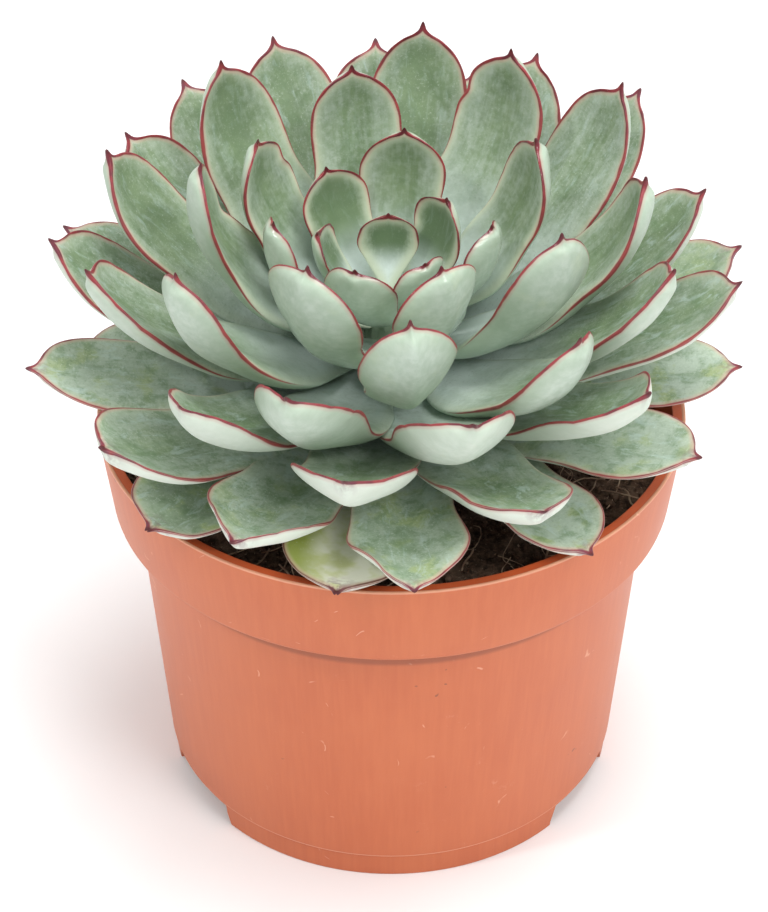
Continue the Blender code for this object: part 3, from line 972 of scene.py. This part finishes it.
# %% Waxy leaf skin
skin, tree, shader = start_material("waxy_leaf_skin")
blade = add(tree, "Attribute", attribute_name="blade", out=1)
leaf_place = add(tree, "Attribute", attribute_name="place", out=1)
leaf_growth = add(tree, "Attribute", attribute_name="growth", out=1)
along, rim, upper = (add(tree, "SeparateXYZ", leaf_place, out=k) for k in range(3))
age, from_tip, mood = (add(tree, "SeparateXYZ", leaf_growth, out=k) for k in range(3))

# The blade coordinates are in mm, so noise scales here are spots to the mm.
patches = add(tree, "TexNoise", blade, 0.16, 3, 0.6)
streaks = add(tree, "TexNoise", add(tree, "Mapping", blade, None, None, (1, 0.12, 1)), 0.8, 3, 0.6)
mottle = add(tree, "TexNoise", blade, 0.7, 4, 0.6)
speckle = add(tree, "TexNoise", blade, 2.2, 3, 0.7)

right_of_middle = add(tree, "SeparateXYZ", blade)
from_middle = add(tree, "Math", right_of_middle, operation="ABSOLUTE")
young = add(tree, "MapRange", age, 0.16, 0.02, **STEP)
old = add(tree, "MapRange", age, 0.62, 0.95, **STEP)

# The green tissue, and the wax over it: thicker at the base and the rim, thinner down the middle and
# on young leaves.
green = add(tree, "Mix", add(tree, "MapRange", patches, 0.3, 0.7, **STEP), "#6B8060", "#7E9270", **TINT)
green = add(tree, "Mix", add(tree, "Math", young, 0.85, **TIMES), green, "#5D7255", **TINT)
wax = add(
    tree, "Math", add(tree, "MapRange", mottle, 0.25, 0.75, 0.17, 0.65, **STEP),
    add(tree, "MapRange", streaks, 0.3, 0.7, -0.18, 0.18, **STEP), **PLUS
)
wax = add(tree, "Math", wax, add(tree, "MapRange", along, 0.66, 0.20, 0.0, 0.4, **STEP), **PLUS)
wax = add(tree, "Math", wax, add(tree, "MapRange", mood, 0.0, 0.9, -0.30, 0.30), **PLUS)
wax = add(tree, "Math", wax, add(tree, "MapRange", from_middle, 5.5, 0.5, 0.0, 0.34, **STEP), **MINUS)
wax = add(tree, "Math", wax, add(tree, "MapRange", rim, 4.5, 1.0, 0.0, 0.32, **STEP), **PLUS)
wax = add(tree, "Math", wax, add(tree, "Math", young, 0.35, **TIMES), **MINUS, use_clamp=True)
top = add(tree, "Mix", wax, green, "#A7B5A5", **TINT)
old_wax = add(tree, "Math", old, add(tree, "MapRange", mood, 0.0, 0.9, 0.25, 0.90), **TIMES)
top = add(tree, "Mix", old_wax, top, "#B4C3B4", **TINT)
# Nearly white-blue towards the base: partly wax bloom, partly painted light lifting the shade between leaves.
top = add(tree, "Mix", add(tree, "MapRange", along, 0.62, 0.20, 0.0, 0.92, **STEP), top, "#D6E3E0", **TINT)
top = add(tree, "Mix", add(tree, "MapRange", rim, 3.5, 0.8, 0.0, 0.35, **STEP), top, "#B1BE9E", **TINT)
dapple = add(tree, "Math", add(tree, "MapRange", patches, 0.50, 0.66, 0.0, 0.8, **STEP), old, **TIMES)
top = add(tree, "Mix", dapple, top, "#9CAB6C", **TINT)

# Rain washed the wax off in patches and hands wiped it in streaks, and old leaves show more of both.
washed = add(
    tree, "MapRange", add(tree, "TexNoise", blade, 0.26, 4, 0.65, None, 0.4), 0.42, 0.68, 0.0, 0.62, **STEP
)
top = add(
    tree, "Mix",
    add(tree, "Math", washed, add(tree, "MapRange", age, 0.25, 0.75, 0.25, 1.0, **STEP), **TIMES), top,
    "#64805A", **TINT
)
wiped = add(
    tree, "MapRange",
    add(tree, "TexNoise", add(tree, "Mapping", blade, None, None, (1, 0.35, 1)), 0.45, 4, 0.65, None, 0.6),
    0.52, 0.68, 0.0, 0.55, **STEP
)
top = add(
    tree, "Mix", add(tree, "Math", wiped, add(tree, "MapRange", age, 0.2, 0.6, 0.2, 1.0, **STEP), **TIMES),
    top, "#B3C6BF", **TINT
)

# The rims of the youngest leaves are pale, partly as a painted highlight, and the grown ones are speckled.
young_rim_and_painted_highlight = add(
    tree, "Math", add(tree, "MapRange", rim, 2.4, 0.5, 0.0, 0.7, **STEP),
    add(tree, "MapRange", age, 0.42, 0.12, **STEP), **TIMES
)
top = add(tree, "Mix", young_rim_and_painted_highlight, top, "#C9D2B8", **TINT)
grown = add(tree, "MapRange", age, 0.10, 0.45, 0.15, 1.0, **STEP)
top = add(
    tree, "Mix",
    add(tree, "Math", add(tree, "MapRange", speckle, 0.56, 0.74, 0.0, 0.42, **STEP), grown, **TIMES), top,
    "#D3DDD0", **TINT
)
top = add(
    tree, "Mix",
    add(tree, "Math", add(tree, "MapRange", speckle, 0.44, 0.28, 0.0, 0.34, **STEP), grown, **TIMES), top,
    "#4F6747", **TINT
)

# The one dying leaf is cream with an olive side, and water drops left dots on the old leaves.
dying = add(tree, "MapRange", mood, 0.93, 0.97, **STEP)
pale = add(tree, "Mix", add(tree, "MapRange", patches, 0.36, 0.58, **STEP), "#C2C795", "#DADBCB", **TINT)
pale = add(
    tree, "Mix", add(tree, "MapRange", right_of_middle, -2.5, -7.5, 0.0, 0.9, **STEP), pale, "#8F9C38",
    **TINT
)
pale = add(
    tree, "Mix", add(tree, "MapRange", speckle, 0.60, 0.75, 0.0, 0.5, **STEP), pale, "#E2E3D2", **TINT
)
top = add(tree, "Mix", dying, top, pale, **TINT)
drops = add(tree, "TexVoronoi", blade, None, 0.8)
drop_zone = add(tree, "MapRange", add(tree, "TexNoise", blade, 0.12, 1, 0.5), 0.46, 0.60, **STEP)
dots = add(
    tree, "Math", add(tree, "MapRange", drops, 0.24, 0.12, **STEP),
    add(tree, "Math", drop_zone, old, **TIMES), **TIMES
)
top = add(tree, "Mix", add(tree, "Math", dots, 0.8, **TIMES), top, "#E4ECE4", **TINT)

# The underside.
below = add(tree, "Mix", add(tree, "MapRange", mottle, 0.3, 0.75, **STEP), "#B7C8B8", "#C9D6CA", **TINT)
below = add(tree, "Mix", add(tree, "MapRange", rim, 6.0, 1.0, 0.0, 0.60, **STEP), below, "#9FB29A", **TINT)
below = add(tree, "Mix", add(tree, "MapRange", along, 0.5, 0.1, 0.0, 0.6, **STEP), below, "#BDCFC6", **TINT)
below = add(
    tree, "Mix", add(tree, "MapRange", patches, 0.55, 0.8, 0.0, 0.30, **STEP), below, "#C6D1AC", **TINT
)
below = add(
    tree, "Mix", add(tree, "Math", add(tree, "MapRange", age, 0.35, 0.7, **STEP), 0.7, **TIMES), below,
    "#E2E8DE", **TINT
)
face = add(tree, "Mix", add(tree, "MapRange", upper, -0.12, 0.12, **STEP), below, top, **TINT)

# The red line, whose width in mm follows the place along the leaf, its age and the thorn. A cream
# line and a blush lie inside it.
waver = add(tree, "MapRange", add(tree, "TexNoise", blade, 0.25, 1, 0.5), 0.2, 0.8, 0.75, 1.25, **STEP)
reach = add(tree, "Math", add(tree, "MapRange", along, 0.34, 0.80, 0.0, 1.0, **STEP), waver, **TIMES)
over = add(tree, "MapRange", upper, -0.1, 0.1, 0.8, 1.0, **STEP)
line = add(
    tree, "Math", add(tree, "Math", reach, over, **TIMES),
    add(tree, "MapRange", age, 0.45, 0.85, 0.60, 0.42, **STEP), **TIMES
)
line = add(tree, "Math", line, add(tree, "MapRange", age, 0.05, 0.30, 0.66, 1.0, **STEP), **TIMES)
line = add(tree, "Math", line, add(tree, "MapRange", from_tip, 3.6, 0.0, 0.0, 0.5, **STEP), **PLUS)
line = add(tree, "Math", line, add(tree, "MapRange", along, 0.48, 0.30, 0.0, 0.3, **STEP), **MINUS)
past_line = add(tree, "Math", rim, line, **MINUS)
cream = add(
    tree, "Math", add(tree, "MapRange", past_line, 1.0, 0.1, 0.0, 0.42, **STEP),
    add(tree, "MapRange", upper, 0.0, 0.2, **STEP), **TIMES
)
cream = add(tree, "Math", cream, add(tree, "MapRange", along, 0.35, 0.6, **STEP), **TIMES)
face = add(tree, "Mix", cream, face, "#D6D0B6", **TINT)
blush = add(
    tree, "Math", add(tree, "MapRange", past_line, 0.9, 0.0, 0.0, 0.42, **STEP),
    add(tree, "MapRange", along, 0.4, 0.8, **STEP), **TIMES
)
face = add(tree, "Mix", blush, face, "#B9827A", **TINT)

# The red fades away from the tip. The oldest leaves have a dry edge and purple stains.
far = add(tree, "MapRange", from_tip, 4.0, 18.0, **STEP)
red = add(
    tree, "Mix", add(tree, "MapRange", add(tree, "TexNoise", blade, 0.35, 2, 0.5), 0.35, 0.65, **STEP),
    "#8E3439", "#682631", **TINT
)
red = add(tree, "Mix", add(tree, "Math", far, 0.45, **TIMES), red, "#A8544F", **TINT)
red = add(tree, "Mix", dying, red, "#6E4638", **TINT)
face = add(tree, "Mix", add(tree, "MapRange", past_line, 0.18, -0.14, **STEP), face, red, **TINT)
edge_skin = add(
    tree, "Math", add(tree, "MapRange", rim, 0.16, 0.02, **STEP),
    add(tree, "MapRange", age, 0.6, 0.85, 0.0, 0.6, **STEP), **TIMES
)
face = add(tree, "Mix", edge_skin, face, "#C9B8A8", **TINT)
stain = add(
    tree, "Math", add(tree, "MapRange", from_tip, 6.5, 1.0, **STEP),
    add(tree, "MapRange", mottle, 0.4, 0.6, **STEP), **TIMES
)
stain = add(tree, "Math", stain, add(tree, "MapRange", age, 0.45, 0.8, 0.0, 0.6, **STEP), **TIMES)
face = add(tree, "Mix", stain, face, "#6E3A50", **TINT)
dark = add(tree, "MapRange", from_tip, 1.6, 0.4, 0.0, 0.9, **STEP)
face = add(tree, "Mix", dark, face, "#4E1C22", **TINT)

tree.links.new(face, shader.inputs["Base Color"])
gloss = add(
    tree, "Math", add(tree, "MapRange", age, 0.14, 0.34, 0.12, 0.42, **STEP),
    add(tree, "Math", mottle, 0.10, **TIMES), **PLUS
)
tree.links.new(gloss, shader.inputs["Roughness"])
shader.inputs["IOR"].default_value = 1.45
skin_bump = add(tree, "Bump", 0.10, 0.0002, None, speckle)
tree.links.new(skin_bump, shader.inputs["Normal"])
for leaf in leaves.values():
    leaf.data.materials.clear()
    leaf.data.materials.append(skin)

# %% [markdown]
# The stem hardly shows between the leaves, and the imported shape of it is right. It keeps that shape
# and gets the look of a young cork skin: grey-brown, cracked across, with green showing through.

# %% Corky stem
cork, tree, shader = start_material("corky_stem_bark")
place = add(tree, "TexCoord", out=3)
rings = add(tree, "TexNoise", add(tree, "Mapping", place, None, None, (1, 1, 2.5)), 500, 3, 0.6)
colour = add(tree, "Mix", add(tree, "MapRange", rings, 0.35, 0.7, **STEP), "#6E6A4E", "#8F9370", **TINT)
colour = add(
    tree, "Mix", add(tree, "MapRange", add(tree, "TexNoise", place, 250, 3, 0.6), 0.5, 0.7, **STEP), colour,
    "#5A4636", **TINT
)
height = add(tree, "SeparateXYZ", place, out=2)
colour = add(tree, "Mix", add(tree, "MapRange", height, 0.088, 0.100, **STEP), colour, "#93A68F", **TINT)
tree.links.new(colour, shader.inputs["Base Color"])
shader.inputs["Roughness"].default_value = 0.75
tree.links.new(add(tree, "Bump", 0.4, 0.0004, None, rings), shader.inputs["Normal"])
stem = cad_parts["stem"]
stem.data.materials.clear()
stem.data.materials.append(cork)
